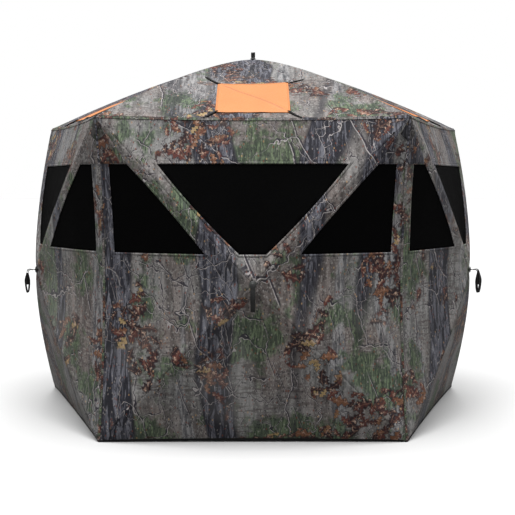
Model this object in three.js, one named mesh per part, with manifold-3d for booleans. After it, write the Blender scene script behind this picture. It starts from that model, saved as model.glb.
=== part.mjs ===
// Pop-up ground blind: a five-sided fabric shelter on a hub frame.
// Each wall is held out by four glass-fibre rods that meet at a hub, so it bulges into a shallow
// pyramid, and the roof does the same with five rods. Pulling a hub's loop snaps its side out;
// pushing the hub in turns the side inside out for packing.
// Millimetres, +Z up. Wall 0 faces -Y, and the walls follow each other anticlockwise from above.
import * as THREE from "three";
import { mergeVertices } from "three/addons/utils/BufferGeometryUtils.js";
import Module from "manifold-3d";

const wasm = await Module();
wasm.setup();

// ---------------------------------------------------------------- driving dimensions
const SIDES = 5;
const WALLS = ["front", "right", "rear_right", "rear_left", "left"];
const DOOR_WALL = "rear_right";
const SIDE = 1570; // corner to corner along one wall
const WALL_HEIGHT = 1650; // ground to eaves
const PEAK_HEIGHT = 2040; // ground to the roof cloth at its hub
const HUB_OUT = 204; // wall cloth at the hub, in front of the wall's corner plane
const WALL_BOW = 1.4; // exponent of the rod curve: 1 is straight, more is flatter at the hub
const ROOF_BOW = 1.38;
const RIDGE = 0.65; // share of the rods' bow that the cloth loses halfway between two rods

const CLOTH = 1.5; // thickness of the cloth solids
const SEAM_GAP = 1.5; // between the cloth of neighbouring walls
const EAVES_GAP = 3; // between the wall cloth and the roof cloth
const CLOTH_HOLE = 14; // half width of the hole that a hub's stem passes through

const ROD_R = 5.5;
const ROD_INSET = 13; // rod centre inside the cloth, measured across the wall
const WALL_TIP_GAP = 34; // corner point to a rod's outer end, along the wall plane
const ROOF_TIP_GAP = 50;
const WALL_ROD_END = 40; // hub axis to the rod's inner end
const ROOF_ROD_END = 60;

const WINDOW_TOP = 1410;
const WINDOW_BOTTOM = 968;
const WINDOW_CORNER_TOP = 58; // corner line to the side window, at its top and bottom
const WINDOW_CORNER_BOTTOM = 64;
const STRIP_INNER_TOP = 83; // rod line to the middle window, level, at its top and bottom
const STRIP_INNER_BOTTOM = 70;
const STRIP_OUTER_TOP = 70; // rod line to the side window, level, at its top and bottom
const STRIP_OUTER_BOTTOM = 100;
const STRIP_INNER_WAIST = 15; // a strip is narrower by these halfway along
const STRIP_OUTER_WAIST = 10;
const MESH_MARGIN = 12; // how far the mesh reaches past the window edges
const MESH_INSET = 3; // mesh behind the wall cloth's outer face
const MESH_THICK = 1;

const DOOR_CORNER = 60; // corner line to the door's hinge edge
const DOOR_ROD = 40; // rod line to the door's zipped edges, square to the rod
const DOOR_GAP = 3;
const DOOR_MESH_CUT = [
  // the part of the wall's mesh that the door takes away
  [60, 700],
  [785, 700],
  [785, 1600],
  [700, 1600],
];
const ZIP_ASIDE = 28; // rod line to the zip, into the door's facet
const ZIP_START = 0.1; // shares of the way from the corner to the hub
const ZIP_END = 0.5;
const ZIP_LIFT = 3.5; // slider's underside above the cloth

const ROOF_FLAG_WIDTH = 380;
const ROOF_FLAG_LOW = 0.052; // share of the way from the eaves to the hub
const ROOF_FLAG_HIGH = 0.459;
const ROOF_FLAG_CLEAR = 5;

const WALL_PLATE_R = 60; // inner plate of a hub, and how far its face is below the cloth
const WALL_PLATE_DEPTH = 26;
const ROOF_PLATE_R = 75;
const ROOF_PLATE_DEPTH = 32;
const PLATE_THICK = 7;
const PLATE_BEVEL = 4;
const CAP_R = 22;
const CAP_UNDER = 3; // the cap's underside, rim and top above the cloth
const CAP_RIM = 5;
const CAP_TOP = 8;
const CAP_BEVEL = 6;
const STEM_R = 9;
const CORD_R = 2.5;

const LOOP_WIDTH = 24;
const LOOP_PIVOT = 25; // the loop's pivot in front of the cloth at the hub
const LOOP_EYE_R = 3.5; // round end of the loop, about its pivot
const LOOP_EYE_GAP = 0.5; // between the cord's end and the loop's round end
const LOOP_REACH = 38; // pivot to the loop's outermost face
const LOOP_PROFILE = [
  // the folded band in (outwards, up) from the upper side of the eye round to its lower side
  [14, 6],
  [26, 3],
  [33, -8],
  [35, -45],
  [LOOP_REACH, -80],
  [LOOP_REACH, -106],
  [32, -118],
  [22, -118],
  [16, -106],
  [16, -80],
  [18, -40],
  [20, -12],
  [14, -5],
];
const LOOP_OPENING = [
  [20, -104],
  [24, -114],
  [30, -114],
  [34, -104],
  [34, -80],
  [20, -80],
];
const ROOF_LOOP_DROOP = 14; // degrees that the roof's loop droops below level, behind the peak

const FOOT_LEG = 90;
const FOOT_THICK = 10;
const FOOT_INSET = 4;
const FOOT_DIAGONAL = 1.55; // the pad's length into the blind, as a share of its legs

// ---------------------------------------------------------------- derived values
const HALF_TURN = Math.PI;
const APOTHEM = SIDE / 2 / Math.tan(HALF_TURN / SIDES);
const CORNER_RADIUS = SIDE / 2 / Math.sin(HALF_TURN / SIDES);
const HALF = SIDE / 2;
const HUB_HEIGHT = WALL_HEIGHT / 2;
const PEAK_RISE = PEAK_HEIGHT - WALL_HEIGHT;
const WALL_RISE_PER_RUN = HUB_HEIGHT / HALF; // slope of a wall rod, seen square to the wall
const ROD_ANGLE = Math.atan(WALL_RISE_PER_RUN);
const FRONT_REACH = APOTHEM + HUB_OUT + LOOP_PIVOT + LOOP_REACH;
const REAR_REACH = CORNER_RADIUS;

const COLOURS = {
  camo: [0.33, 0.31, 0.26],
  mesh: [0.01, 0.01, 0.01],
  orange: [0.9, 0.36, 0.08],
  rod: [0.05, 0.05, 0.05],
  hub: [0.04, 0.04, 0.045],
  webbing: [0.02, 0.02, 0.02],
  zip: [0.08, 0.08, 0.08],
};
const ROUGHNESS = { hub: 0.5, rod: 0.35, zip: 0.4 };

// ---------------------------------------------------------------- helpers
function material(kind) {
  const color = new THREE.Color(...COLOURS[kind]);
  return new THREE.MeshStandardMaterial({ color, roughness: ROUGHNESS[kind] ?? 0.85, metalness: 0 });
}

function piece(name, geometry, kind) {
  const mesh = new THREE.Mesh(geometry, material(kind));
  mesh.name = name;
  return mesh;
}

function solid(geometry) {
  const bare = geometry.clone();
  bare.deleteAttribute("normal");
  bare.deleteAttribute("uv");
  const merged = mergeVertices(bare, 1e-3);
  return new wasm.Manifold(
    new wasm.Mesh({
      numProp: 3,
      vertProperties: merged.attributes.position.array,
      triVerts: new Uint32Array(merged.index.array),
    }),
  );
}

function geometryOf(body) {
  const mesh = body.getMesh();
  return new THREE.BufferGeometry()
    .setAttribute("position", new THREE.BufferAttribute(mesh.vertProperties, 3))
    .setIndex(new THREE.BufferAttribute(mesh.triVerts, 1));
}

// Cloth between the rods: u runs from an outer edge (0) to the hub (1), and v across the facet,
// -1 and 1 on the rods. The rods bow outwards, and the cloth halfway between them bows less.
function rise(u, v, height, bow) {
  const onRod = 1 - Math.pow(1 - u, bow);
  const follow = 1 - RIDGE + RIDGE * v * v;
  return height * ((1 - follow) * u + follow * onRod);
}

// A closed cloth shell of triangular facets between the corners of a polygon and its hub, in the
// frame of its own plane: X and Y in the plane, Z outwards. It stops short of the hub, for the stem.
const RINGS = [0, 0.3, 0.6, 0.85];
const COLUMNS = 4;
function tentShell(corners, apex, height, bow, outer, thickness, holeShare) {
  const rings = [...RINGS, 1 - holeShare];
  const around = corners.length * COLUMNS;
  const points = [];
  for (const level of [outer, outer - thickness]) {
    for (const u of rings) {
      for (let i = 0; i < around; i++) {
        const facet = Math.floor(i / COLUMNS);
        const share = (i % COLUMNS) / COLUMNS;
        const edge = corners[facet].clone().lerp(corners[(facet + 1) % corners.length], share);
        const at = edge.lerp(apex, u);
        points.push(at.x, at.y, rise(u, 2 * share - 1, height, bow) + level);
      }
    }
  }
  const layer = rings.length * around;
  const index = (side, ring, i) => side * layer + ring * around + (i % around);
  const faces = [];
  const quad = (a, b, c, d) => faces.push(a, b, c, a, c, d);
  for (let i = 0; i < around; i++) {
    for (let r = 0; r < rings.length - 1; r++) {
      quad(index(0, r, i), index(0, r, i + 1), index(0, r + 1, i + 1), index(0, r + 1, i));
      quad(index(1, r, i), index(1, r + 1, i), index(1, r + 1, i + 1), index(1, r, i + 1));
    }
    const last = rings.length - 1;
    quad(index(1, 0, i), index(1, 0, i + 1), index(0, 0, i + 1), index(0, 0, i));
    quad(index(0, last, i), index(0, last, i + 1), index(1, last, i + 1), index(1, last, i));
  }
  return new THREE.BufferGeometry()
    .setAttribute("position", new THREE.Float32BufferAttribute(points, 3))
    .setIndex(faces);
}

// A prism through the wall plane, from a list of [x, y] points.
function prism(outline, from = -100, to = 400) {
  const shape = new THREE.Shape(outline.map(([x, y]) => new THREE.Vector2(x, y)));
  const geometry = new THREE.ExtrudeGeometry(shape, { depth: to - from, bevelEnabled: false });
  return geometry.translate(0, 0, from);
}

// ---------------------------------------------------------------- wall cloth, windows and door
function wallShell(outer, thickness) {
  const x = HALF - SEAM_GAP;
  const corners = [
    new THREE.Vector2(-x, 0),
    new THREE.Vector2(x, 0),
    new THREE.Vector2(x, WALL_HEIGHT - EAVES_GAP),
    new THREE.Vector2(-x, WALL_HEIGHT - EAVES_GAP),
  ];
  const apex = new THREE.Vector2(0, HUB_HEIGHT);
  return solid(tentShell(corners, apex, HUB_OUT, WALL_BOW, outer, thickness, CLOTH_HOLE / HALF));
}

// Level position of the upper rod at a height above the ground, as a distance from the wall's middle.
function rodAt(height) {
  return (height - HUB_HEIGHT) / WALL_RISE_PER_RUN;
}

// Points between two ends of a window edge that bows sideways.
function bowedEdge([x0, y0], [x1, y1], bow) {
  const shares = [0, 0.25, 0.5, 0.75, 1];
  return shares.map((t) => [x0 + (x1 - x0) * t + bow * 4 * t * (1 - t), y0 + (y1 - y0) * t]);
}

function middleWindow() {
  const top = rodAt(WINDOW_TOP) - STRIP_INNER_TOP;
  const bottom = rodAt(WINDOW_BOTTOM) - STRIP_INNER_BOTTOM;
  const right = bowedEdge([bottom, WINDOW_BOTTOM], [top, WINDOW_TOP], STRIP_INNER_WAIST);
  const left = right.map(([x, y]) => [-x, y]).reverse();
  return [...right, ...left];
}

// The window between the right-hand rod and the right-hand corner; side = -1 mirrors it.
function sideWindow(side) {
  const low = [rodAt(WINDOW_BOTTOM) + STRIP_OUTER_BOTTOM, WINDOW_BOTTOM];
  const high = [rodAt(WINDOW_TOP) + STRIP_OUTER_TOP, WINDOW_TOP];
  const corner = [
    [HALF - WINDOW_CORNER_BOTTOM, WINDOW_BOTTOM],
    [HALF - WINDOW_CORNER_TOP, WINDOW_TOP],
  ];
  const outline = [...corner, ...bowedEdge(high, low, -STRIP_OUTER_WAIST)];
  return side > 0 ? outline : outline.map(([x, y]) => [-x, y]).reverse();
}

// The door is the triangle between the right-hand rods and the right-hand corner strip.
function doorOutline(grow) {
  const edge = HALF - DOOR_CORNER + grow;
  const fromRod = DOOR_ROD - grow;
  const apex = fromRod / Math.sin(ROD_ANGLE);
  const reach = edge * WALL_RISE_PER_RUN - fromRod / Math.cos(ROD_ANGLE);
  return [
    [apex, HUB_HEIGHT],
    [edge, HUB_HEIGHT - reach],
    [edge, HUB_HEIGHT + reach],
  ];
}

function wallPanel(hasDoor) {
  const right = hasDoor ? doorOutline(DOOR_GAP) : sideWindow(1);
  const cuts = [middleWindow(), sideWindow(-1), right];
  return cuts.reduce((cloth, outline) => cloth.subtract(solid(prism(outline))), wallShell(0, CLOTH));
}

function windowMesh(hasDoor) {
  const reach = HALF - WINDOW_CORNER_TOP + MESH_MARGIN;
  const band = [
    [-reach, WINDOW_BOTTOM - MESH_MARGIN],
    [reach, WINDOW_BOTTOM - MESH_MARGIN],
    [reach, WINDOW_TOP + MESH_MARGIN],
    [-reach, WINDOW_TOP + MESH_MARGIN],
  ];
  const mesh = wallShell(-MESH_INSET, MESH_THICK).intersect(solid(prism(band)));
  return hasDoor ? mesh.subtract(solid(prism(DOOR_MESH_CUT))) : mesh;
}

// ---------------------------------------------------------------- frame
class RodCurve extends THREE.Curve {
  constructor(corner, hub, height, bow, tipGap, endGap) {
    super();
    Object.assign(this, { corner, hub, height, bow });
    const run = corner.distanceTo(hub);
    this.from = tipGap / run;
    this.to = 1 - endGap / run;
  }
  getPoint(t, target = new THREE.Vector3()) {
    const u = this.from + (this.to - this.from) * t;
    const at = this.corner.clone().lerp(this.hub, u);
    return target.set(at.x, at.y, rise(u, 1, this.height, this.bow) - ROD_INSET);
  }
}

const ROD_STEPS = 5;
const ROD_SECTION = 6;
function rod(curve) {
  const section = new THREE.Shape();
  for (let i = 0; i < ROD_SECTION; i++) {
    const angle = (2 * HALF_TURN * i) / ROD_SECTION;
    const [x, y] = [ROD_R * Math.cos(angle), ROD_R * Math.sin(angle)];
    i ? section.lineTo(x, y) : section.moveTo(x, y);
  }
  return new THREE.ExtrudeGeometry(section, { steps: ROD_STEPS, extrudePath: curve, bevelEnabled: false });
}

// The hub's plates hold the rods' ends between them, and the cap presses on the cloth from outside.
// A cord stub for the pull loop comes out of the cap. The height 0 is the cloth at the hub.
function hub(plateRadius, plateDepth) {
  const back = -plateDepth - PLATE_THICK;
  const cordEnd = LOOP_PIVOT - LOOP_EYE_R - LOOP_EYE_GAP;
  const profile = [
    [0, back],
    [plateRadius - PLATE_BEVEL, back],
    [plateRadius, back + PLATE_BEVEL],
    [plateRadius, -plateDepth],
    [STEM_R, -plateDepth],
    [STEM_R, CAP_UNDER],
    [CAP_R, CAP_UNDER],
    [CAP_R, CAP_RIM],
    [CAP_R - CAP_BEVEL, CAP_TOP],
    [CORD_R, CAP_TOP],
    [CORD_R, cordEnd],
    [0, cordEnd],
  ];
  const points = profile.map(([r, h]) => new THREE.Vector2(r, h));
  return new THREE.LatheGeometry(points, 16).rotateX(HALF_TURN / 2);
}

// A folded webbing loop: it leaves the cord outwards, folds over and hangs, and its lower end is open.
// Its pivot is at 0, 0, in the middle of its round end.
const EYE_STEPS = 8;
function pullLoop() {
  const eye = [];
  for (let i = 0; i <= EYE_STEPS; i++) {
    const angle = HALF_TURN * (1.5 - i / EYE_STEPS);
    eye.push([LOOP_EYE_R * Math.cos(angle), LOOP_EYE_R * Math.sin(angle)]);
  }
  const shape = new THREE.Shape([...eye, ...LOOP_PROFILE].map(([x, y]) => new THREE.Vector2(x, y)));
  shape.holes.push(new THREE.Path(LOOP_OPENING.map(([x, y]) => new THREE.Vector2(x, y))));
  const band = new THREE.ExtrudeGeometry(shape, { depth: LOOP_WIDTH, bevelEnabled: false });
  // outwards becomes Z, up stays Y and the band's width becomes X
  return band.translate(0, 0, -LOOP_WIDTH / 2).rotateY(-HALF_TURN / 2);
}

// A slider with its tab, lying on the zip. X runs along the zip.
const SLIDER = { length: 26, width: 11, height: 4.5, tab: 34, tabWidth: 8, tabHeight: 2, tabOverlap: 4 };
function zipSlider() {
  const block = new THREE.BoxGeometry(SLIDER.length, SLIDER.width, SLIDER.height);
  const tab = new THREE.BoxGeometry(SLIDER.tab, SLIDER.tabWidth, SLIDER.tabHeight);
  tab.translate(-SLIDER.tab / 2 - SLIDER.tabOverlap, 0, SLIDER.height / 2);
  return geometryOf(solid(block).add(solid(tab)));
}

// ---------------------------------------------------------------- assembly
const blind = new THREE.Group();
blind.position.y = (FRONT_REACH - REAR_REACH) / 2; // the origin is under the middle of the box

// Wall frame: X to the right seen from outside, Y up the wall, Z outwards, 0 on the ground.
function wallFrame(number) {
  const turn = new THREE.Group();
  turn.rotation.z = (2 * HALF_TURN * number) / SIDES;
  const frame = new THREE.Group();
  frame.position.y = -APOTHEM;
  frame.rotation.x = HALF_TURN / 2;
  turn.add(frame);
  blind.add(turn);
  return frame;
}

const CORNERS = { upper_left: [-1, 1], upper_right: [1, 1], lower_right: [1, -1], lower_left: [-1, -1] };

// A point on the wall cloth's outer face, above the lower right rod: share runs from the corner to the
// hub, and aside is the distance from the rod line into the right-hand facet.
function besideLowerRod(share, aside) {
  const x = HALF * (1 - share);
  const y = HUB_HEIGHT * share + aside / Math.cos(ROD_ANGLE);
  const out = 1 - Math.abs(x) / HALF;
  const across = Math.abs(y - HUB_HEIGHT) / WALL_RISE_PER_RUN / x;
  return new THREE.Vector3(x, y, rise(out, across, HUB_OUT, WALL_BOW));
}

WALLS.forEach((wall, number) => {
  const frame = wallFrame(number);
  const hasDoor = wall === DOOR_WALL;
  frame.add(piece(`wall_panel_${wall}`, geometryOf(wallPanel(hasDoor)), "camo"));
  frame.add(piece(`window_mesh_${wall}`, geometryOf(windowMesh(hasDoor)), "mesh"));

  const middle = new THREE.Vector2(0, HUB_HEIGHT);
  for (const [place, [right, up]] of Object.entries(CORNERS)) {
    const corner = new THREE.Vector2(right * HALF, HUB_HEIGHT + up * HUB_HEIGHT);
    const curve = new RodCurve(corner, middle, HUB_OUT, WALL_BOW, WALL_TIP_GAP, WALL_ROD_END);
    frame.add(piece(`rod_${wall}_${place}`, rod(curve), "rod"));
  }

  const wallHub = piece(`hub_${wall}`, hub(WALL_PLATE_R, WALL_PLATE_DEPTH), "hub");
  wallHub.position.set(0, HUB_HEIGHT, HUB_OUT);
  frame.add(wallHub);
  const loop = piece(`pull_loop_${wall}`, pullLoop(), "webbing");
  loop.position.set(0, HUB_HEIGHT, HUB_OUT + LOOP_PIVOT);
  frame.add(loop);

  if (hasDoor) {
    const door = wallShell(0, CLOTH).intersect(solid(prism(doorOutline(0))));
    frame.add(piece("door_panel", geometryOf(door), "camo"));
    const low = besideLowerRod(ZIP_START, ZIP_ASIDE);
    const high = besideLowerRod(ZIP_END, ZIP_ASIDE);
    const slider = piece("zip_slider", zipSlider(), "zip");
    const holder = new THREE.Group();
    const along = high.clone().sub(low).normalize();
    const across = new THREE.Vector3(0, 0, 1).cross(along).normalize();
    const outwards = along.clone().cross(across);
    holder.matrixAutoUpdate = false;
    holder.matrix.makeBasis(along, across, outwards);
    holder.matrix.setPosition(low.addScaledVector(outwards, SLIDER.height / 2 + ZIP_LIFT));
    holder.add(slider);
    frame.add(holder);
  }
});

// ---- roof
const roof = new THREE.Group();
roof.position.z = WALL_HEIGHT;
blind.add(roof);

function cornerPoint(number) {
  const angle = -HALF_TURN / 2 + (HALF_TURN * (2 * number - 1)) / SIDES;
  return new THREE.Vector2(CORNER_RADIUS * Math.cos(angle), CORNER_RADIUS * Math.sin(angle));
}
const centre = new THREE.Vector2(0, 0);
const roofCorners = WALLS.map((_, number) => cornerPoint(number));
const roofHole = CLOTH_HOLE / APOTHEM;
const roofShell = tentShell(roofCorners, centre, PEAK_RISE, ROOF_BOW, 0, CLOTH, roofHole);
roof.add(piece("roof_panel", roofShell, "camo"));

// The orange flag over one wall lies on the roof facet; the facet's middle line runs along +Y.
function roofFlag() {
  const across = 4;
  const along = 4;
  const points = [];
  const half = ROOF_FLAG_WIDTH / 2;
  for (const level of [ROOF_FLAG_CLEAR + 1, ROOF_FLAG_CLEAR]) {
    for (let j = 0; j <= along; j++) {
      for (let i = 0; i <= across; i++) {
        const u = ROOF_FLAG_LOW + ((ROOF_FLAG_HIGH - ROOF_FLAG_LOW) * j) / along;
        const x = -half + (ROOF_FLAG_WIDTH * i) / across;
        const v = Math.abs(x) / (HALF * (1 - u));
        points.push(x, -APOTHEM * (1 - u), rise(u, v, PEAK_RISE, ROOF_BOW) + level);
      }
    }
  }
  const row = across + 1;
  const layer = row * (along + 1);
  const faces = [];
  const quad = (a, b, c, d) => faces.push(a, b, c, a, c, d);
  for (let j = 0; j < along; j++) {
    for (let i = 0; i < across; i++) {
      const at = j * row + i;
      quad(at, at + 1, at + row + 1, at + row);
      quad(layer + at, layer + at + row, layer + at + row + 1, layer + at + 1);
    }
  }
  const rim = [];
  for (let i = 0; i < across; i++) rim.push(i);
  for (let j = 0; j < along; j++) rim.push(j * row + across);
  for (let i = across; i > 0; i--) rim.push(along * row + i);
  for (let j = along; j > 0; j--) rim.push(j * row);
  rim.forEach((at, k) => {
    const next = rim[(k + 1) % rim.length];
    quad(layer + at, layer + next, next, at);
  });
  return new THREE.BufferGeometry()
    .setAttribute("position", new THREE.Float32BufferAttribute(points, 3))
    .setIndex(faces);
}

WALLS.forEach((wall, number) => {
  const turn = new THREE.Group();
  turn.rotation.z = (2 * HALF_TURN * number) / SIDES;
  roof.add(turn);
  turn.add(piece(`roof_flag_${wall}`, roofFlag(), "orange"));
  const curve = new RodCurve(cornerPoint(0), centre, PEAK_RISE, ROOF_BOW, ROOF_TIP_GAP, ROOF_ROD_END);
  turn.add(piece(`rod_roof_${wall}`, rod(curve), "rod"));
});

const roofHub = piece("hub_roof", hub(ROOF_PLATE_R, ROOF_PLATE_DEPTH), "hub");
roofHub.position.z = PEAK_RISE;
roof.add(roofHub);
const roofLoopFrame = new THREE.Group();
roofLoopFrame.position.z = PEAK_RISE + LOOP_PIVOT;
roofLoopFrame.rotation.z = HALF_TURN;
roof.add(roofLoopFrame);
const roofLoop = piece("pull_loop_roof", pullLoop(), "webbing");
roofLoop.rotation.x = (ROOF_LOOP_DROOP * HALF_TURN) / 180;
roofLoopFrame.add(roofLoop);

// ---- feet: a pad inside each ground corner, under the ends of the two lower rods that meet there
function cornerFoot() {
  const wallTurn = HALF_TURN / SIDES;
  const leg = (side, far) => [side * Math.cos(wallTurn) * far, Math.sin(wallTurn) * far];
  const shape = new THREE.Shape();
  const inset = FOOT_INSET / Math.cos(wallTurn);
  const outline = [[0, 0], leg(1, FOOT_LEG), [0, FOOT_DIAGONAL * FOOT_LEG], leg(-1, FOOT_LEG)];
  outline.forEach(([x, y], i) => (i ? shape.lineTo(x, y + inset) : shape.moveTo(x, y + inset)));
  return new THREE.ExtrudeGeometry(shape, { depth: FOOT_THICK, bevelEnabled: false });
}
WALLS.forEach((wall, number) => {
  const at = cornerPoint(number);
  const foot = piece(`corner_foot_${wall}`, cornerFoot(), "webbing");
  foot.position.set(at.x, at.y, 0);
  foot.rotation.z = Math.atan2(at.y, at.x) + HALF_TURN / 2;
  blind.add(foot);
});

export default blind;
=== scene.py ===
"""Looks for the pop-up ground blind: printed cloth, mesh windows, rods, hubs, straps and trim.

Metres, +Z up, the front wall faces -Y. Each wall has its own axes: right (seen from outside), up and out.
"""

import math

import bpy
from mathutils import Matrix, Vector, geometry, noise


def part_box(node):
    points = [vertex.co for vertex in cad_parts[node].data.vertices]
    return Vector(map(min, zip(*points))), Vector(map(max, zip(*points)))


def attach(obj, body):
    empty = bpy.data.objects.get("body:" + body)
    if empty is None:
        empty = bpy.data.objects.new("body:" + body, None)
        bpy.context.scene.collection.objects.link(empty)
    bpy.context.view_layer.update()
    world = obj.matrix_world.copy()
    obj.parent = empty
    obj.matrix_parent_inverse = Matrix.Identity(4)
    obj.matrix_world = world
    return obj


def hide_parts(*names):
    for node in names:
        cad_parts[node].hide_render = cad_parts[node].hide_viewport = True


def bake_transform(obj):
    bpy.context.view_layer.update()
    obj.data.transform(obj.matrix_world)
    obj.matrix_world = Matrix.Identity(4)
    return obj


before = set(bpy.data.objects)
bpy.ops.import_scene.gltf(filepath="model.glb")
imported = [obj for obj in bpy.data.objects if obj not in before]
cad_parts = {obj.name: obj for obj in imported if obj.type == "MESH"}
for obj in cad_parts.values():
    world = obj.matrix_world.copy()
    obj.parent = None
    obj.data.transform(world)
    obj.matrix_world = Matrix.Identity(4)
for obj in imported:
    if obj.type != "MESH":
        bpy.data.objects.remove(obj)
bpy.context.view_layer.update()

# ---------------- sizes, from the frame and the cloth's own detail
WALLS = ["front", "right", "rear_right", "rear_left", "left"]
SIDES = len(WALLS)
DOOR_WALL = "rear_right"
SEAM_GAP = 0.0015  # each wall's cloth stops this far from its corner line
EAVES_GAP = 0.003
HOLE = 0.014  # half width of the hole for a hub's stem

front_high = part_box("wall_panel_front")[1]
HALF = front_high.x + SEAM_GAP  # half a wall's width
WALL_TOP = front_high.z + EAVES_GAP
HUB_Z = WALL_TOP / 2
APOTHEM = HALF / math.tan(math.pi / SIDES)
CORNER_R = HALF / math.sin(math.pi / SIDES)
REAR_CORNER_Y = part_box("roof_panel")[1].y
CENTRE = Vector((0, REAR_CORNER_Y - CORNER_R, 0))
CORD_STUB = 0.021  # a hub's cord in front of the cloth
LOOP_PIVOT = 0.025  # a pull loop turns this far in front of the cloth
HUB_OUT = CENTRE.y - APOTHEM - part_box("hub_front")[0].y - CORD_STUB
PEAK_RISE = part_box("hub_roof")[1].z - CORD_STUB - WALL_TOP
WALL_BOW, ROOF_BOW = 1.4, 1.38  # how far the rods bow, 1 is straight
RIDGE = 0.65  # how much the cloth between the rods falls in
SLOPE = HUB_Z / HALF
ROD_ANGLE = math.atan(SLOPE)
ROD_INSET = 0.013  # from the cloth to the middle of a rod
BEND = 0.03  # width of a strip along a hinge edge, used only for end points that nothing reads

WINDOW_TOP, WINDOW_LOW = 1.410, 0.968
CORNER_STRIP_TOP, CORNER_STRIP_LOW = 0.058, 0.064  # corner line to the side window
INNER_STRIP_TOP, INNER_STRIP_LOW = 0.083, 0.070  # rod line to the middle window, level
OUTER_STRIP_TOP, OUTER_STRIP_LOW = 0.070, 0.100  # rod line to the side window, level
INNER_WAIST, OUTER_WAIST = 0.015, 0.010  # a strip is narrower by these halfway along
SEAM_BOW = 0.052  # the corner seams are drawn in by this much halfway up
EAVES_SAG = 0.014  # the eaves hang this far below the line between two corners
MESH_BEHIND = 0.0035
MESH_OVERLAP = 0.011
WINDOW_HEM = 0.012
HEM_BOW = 0.011  # the hem is this much higher halfway between two corners

CLOTH_STEP = 0.017  # spacing of the points of a wall's or the roof's cloth
CLOTH_THICK, THIN_CLOTH, NET_THICK = 0.0010, 0.0008, 0.0006
PRINT_STEP = 1.93  # the print moves on by this much from wall to wall
ROOF_PRINT_STEP, ROOF_PRINT_AT = 1.71, (0.6, 4.0)

DOOR_CORNER, DOOR_ROD, DOOR_GAP = 0.060, 0.040, 0.003
FLAG_WIDTH, FLAG_LOW, FLAG_HIGH = 0.380, 0.052, 0.459
FLAG_MIDDLE, FLAG_DEPTH = APOTHEM * (FLAG_LOW + FLAG_HIGH) / 2, APOTHEM * (FLAG_HIGH - FLAG_LOW)
FLAG_CLEAR = 0.0042  # from the roof to the flag
LOOP_WIDTH = 0.024
LOOP_TWIST = math.radians(26)  # a hanging loop turns by this much
ROOF_LOOP_DROOP = math.radians(14)


# ---------------- wall and roof shape
class Wall:
    """One wall's axes, and the place of a point on it: x to the right, y up, z out from the corner plane."""

    def __init__(self, number):
        turn = 2 * math.pi * number / SIDES
        self.name = WALLS[number]
        self.number = number
        self.right = Vector((math.cos(turn), math.sin(turn), 0))
        self.up = Vector((0, 0, 1))
        self.out = Vector((math.sin(turn), -math.cos(turn), 0))

    def at(self, x, y, z=0.0):
        return CENTRE + self.right * x + self.up * y + self.out * (APOTHEM + z)

    def on_roof(self, x, inward, z=0.0):
        """A point above the roof facet: x along the eaves, inward from them, z above the eaves."""
        return CENTRE + self.right * x + self.out * (APOTHEM - inward) + self.up * (WALL_TOP + z)


def rise(u, v, height, bow):
    on_rod = 1 - (1 - u) ** bow
    follow = 1 - RIDGE + RIDGE * v * v
    return height * ((1 - follow) * u + follow * on_rod)


def wall_rise(x, y):
    across, along = abs(x) / HALF, abs(y - HUB_Z) / HUB_Z
    most = max(across, along, 1e-9)
    return rise(max(0.0, 1 - most), min(across, along) / most, HUB_OUT, WALL_BOW)


def roof_rise(x, inward):
    u = min(max(inward / APOTHEM, 0.0), 1.0)
    v = min(abs(x) / max(HALF * (1 - u), 1e-9), 1.0)
    return rise(u, v, PEAK_RISE, ROOF_BOW)


def from_rods(x, y):
    """Distance from the nearest rod line, along the wall."""
    return abs(abs(y - HUB_Z) - abs(x) * SLOPE) / math.hypot(1, SLOPE)


def creases(x, y, seed):
    """How far the wall's cloth stands off its plain shape: pulls from the hub and corners, and ripples."""
    from_hub = math.hypot(x, y - HUB_Z)
    turn = math.atan2(y - HUB_Z, x)
    total = 0.0022 * math.cos(9 * turn + seed) * math.exp(-from_hub / 0.16) * min(1, from_hub / 0.04)
    dx, dy = HALF - abs(x), min(y, WALL_TOP - y)
    from_corner = math.hypot(dx, dy)
    fan = math.atan2(dy, dx) * 11 + seed * 1.7
    total += 0.0030 * math.cos(fan) * math.exp(-from_corner / 0.20) * min(1, from_corner / 0.06)
    free = min(1, dx / 0.08) * min(1, dy / 0.08) * (1 - math.exp(-((from_rods(x, y) / 0.05) ** 2)))
    total += 0.0060 * free * noise.noise(Vector((x * 2.3, y * 1.7, seed)))
    total += 0.0022 * free * noise.noise(Vector((x * 9.0, y * 5.0, seed + 7)))
    rod_sleeve = 0.0030 * math.exp(-((from_rods(x, y) / 0.020) ** 2)) * min(1, from_hub / 0.08)
    return total + rod_sleeve


def roof_creases(x, inward, seed):
    free = min(1, inward / 0.06) * min(1, max(HALF * (1 - inward / APOTHEM) - abs(x), 0) / 0.08)
    ripple = 0.0070 * noise.noise(Vector((x * 2.1, inward * 2.6, seed)))
    ripple += 0.0022 * noise.noise(Vector((x * 8.0, inward * 6.0, seed + 3)))
    pull = 0.0025 * math.cos(x * 55 + seed) * math.exp(-inward / 0.05) * min(1, inward / 0.012)
    return free * ripple + pull


# ---------------- mesh building
def new_object(name, verts, faces, material=None, uvs=None, smooth=True):
    mesh = bpy.data.meshes.new(name)
    mesh.from_pydata([tuple(v) for v in verts], [], faces)
    mesh.update()
    if uvs:
        layer = mesh.uv_layers.new(name="print")
        for loop in mesh.loops:
            layer.data[loop.index].uv = uvs[loop.vertex_index]
    for polygon in mesh.polygons:
        polygon.use_smooth = smooth
    obj = bpy.data.objects.new(name, mesh)
    bpy.context.scene.collection.objects.link(obj)
    if material:
        mesh.materials.append(material)
    return obj


def sides_of(outline):
    return zip(outline, outline[1:] + outline[:1])


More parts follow.
